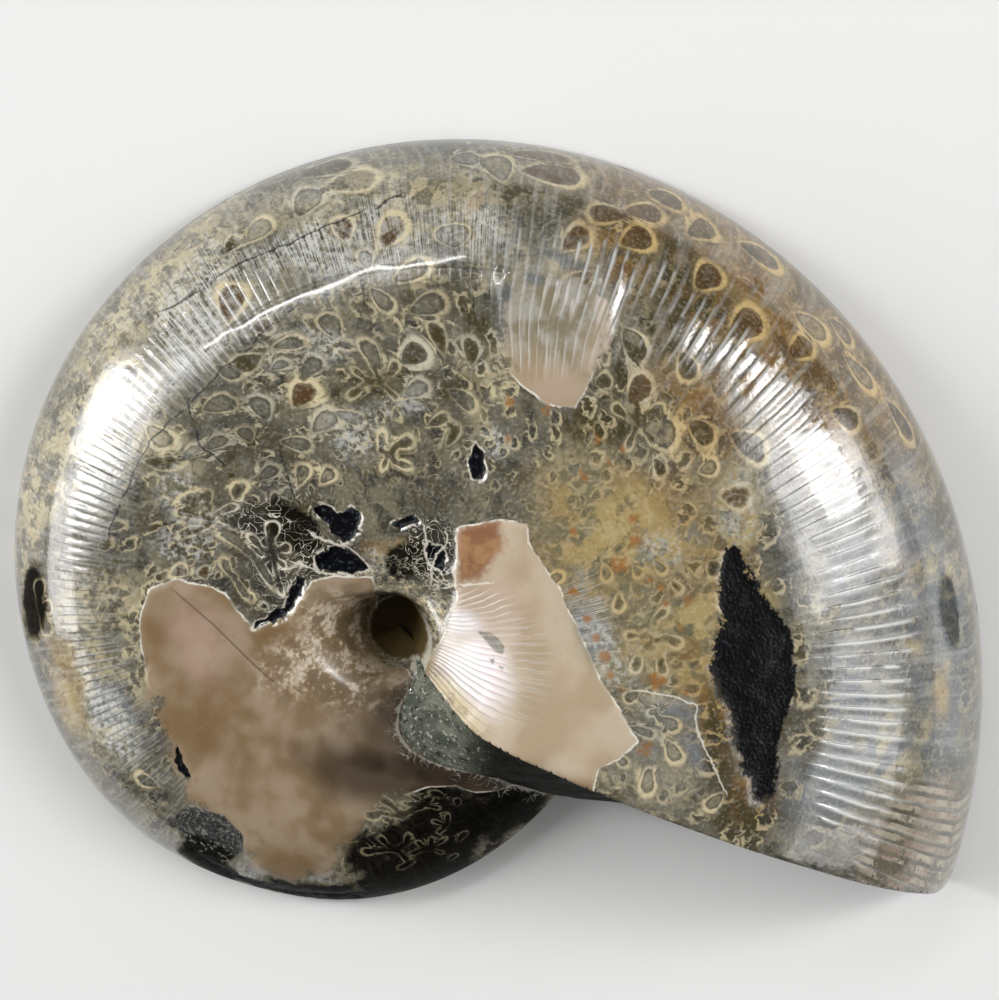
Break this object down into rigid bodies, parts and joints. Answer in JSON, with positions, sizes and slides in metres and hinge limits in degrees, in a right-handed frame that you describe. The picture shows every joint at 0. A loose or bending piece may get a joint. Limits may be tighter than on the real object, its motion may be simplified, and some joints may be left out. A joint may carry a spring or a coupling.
{
  "type": "polished ammonite fossil half",
  "caption": "Half of a coiled ammonite fossil, domed and polished outside with a deep umbilicus and a broad open lip, flat where it is cut.",
  "frame": {"origin": "where the coil's axis meets the flat cut face", "axes": "+Z out of the cut face along the coil's axis, towards the domed side; +X towards the shell's widest reach, a little above the lip; +Y across it, with the lip's edge on the -Y side"},
  "size_m": [0.1304, 0.1036, 0.0285],
  "materials": {
    "fossil": "polished agatised shell and stone, glossy, with suture lines and pearly patches"
  },
  "bodies": {
    "root": {"ammonite_half": "fossil"}
  },
  "joints": []
}
